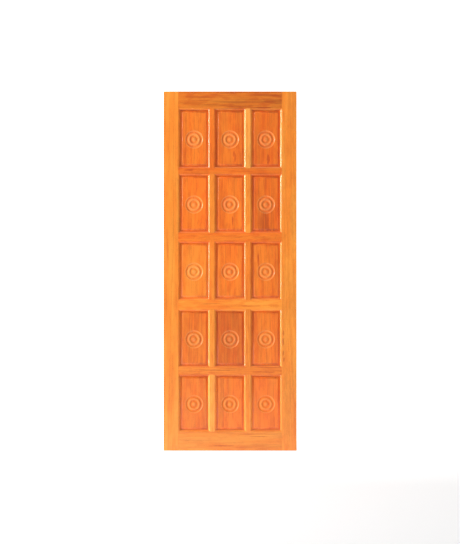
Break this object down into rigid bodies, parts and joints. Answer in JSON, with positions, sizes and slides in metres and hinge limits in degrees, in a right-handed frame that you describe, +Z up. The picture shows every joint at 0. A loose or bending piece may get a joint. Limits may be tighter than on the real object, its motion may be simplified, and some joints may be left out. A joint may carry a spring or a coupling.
{
  "type": "carved panel door leaf",
  "caption": "Wooden door leaf of mortised stiles and rails, with a grid of raised panels that each carry a carved round medallion.",
  "frame": {"origin": "middle of the leaf's bottom edge, half way through its thickness", "axes": "+X to the right seen from the carved front, +Y through the leaf to the plain back, so the carved front faces -Y, +Z up"},
  "size_m": [0.762, 0.035, 2.057],
  "materials": {
    "stile_wood": "satin varnish",
    "rail_wood": "satin varnish",
    "muntin_wood": "satin varnish",
    "panel_wood": "satin varnish",
    "wedge_wood": "satin varnish"
  },
  "bodies": {
    "root": {"left_stile": "stile_wood", "right_stile": "stile_wood", "top_rail": "rail_wood", "second_rail": "rail_wood", "third_rail": "rail_wood", "fourth_rail": "rail_wood", "fifth_rail": "rail_wood", "bottom_rail": "rail_wood", "muntin_row_1_left": "muntin_wood", "muntin_row_1_right": "muntin_wood", "muntin_row_2_left": "muntin_wood", "muntin_row_2_right": "muntin_wood", "muntin_row_3_left": "muntin_wood", "muntin_row_3_right": "muntin_wood", "muntin_row_4_left": "muntin_wood", "muntin_row_4_right": "muntin_wood", "muntin_row_5_left": "muntin_wood", "muntin_row_5_right": "muntin_wood", "panel_row_1_left": "panel_wood", "panel_row_1_middle": "panel_wood", "panel_row_1_right": "panel_wood", "panel_row_2_left": "panel_wood", "panel_row_2_middle": "panel_wood", "panel_row_2_right": "panel_wood", "panel_row_3_left": "panel_wood", "panel_row_3_middle": "panel_wood", "panel_row_3_right": "panel_wood", "panel_row_4_left": "panel_wood", "panel_row_4_middle": "panel_wood", "panel_row_4_right": "panel_wood", "panel_row_5_left": "panel_wood", "panel_row_5_middle": "panel_wood", "panel_row_5_right": "panel_wood", "tenon_wedges": "wedge_wood"}
  },
  "joints": []
}
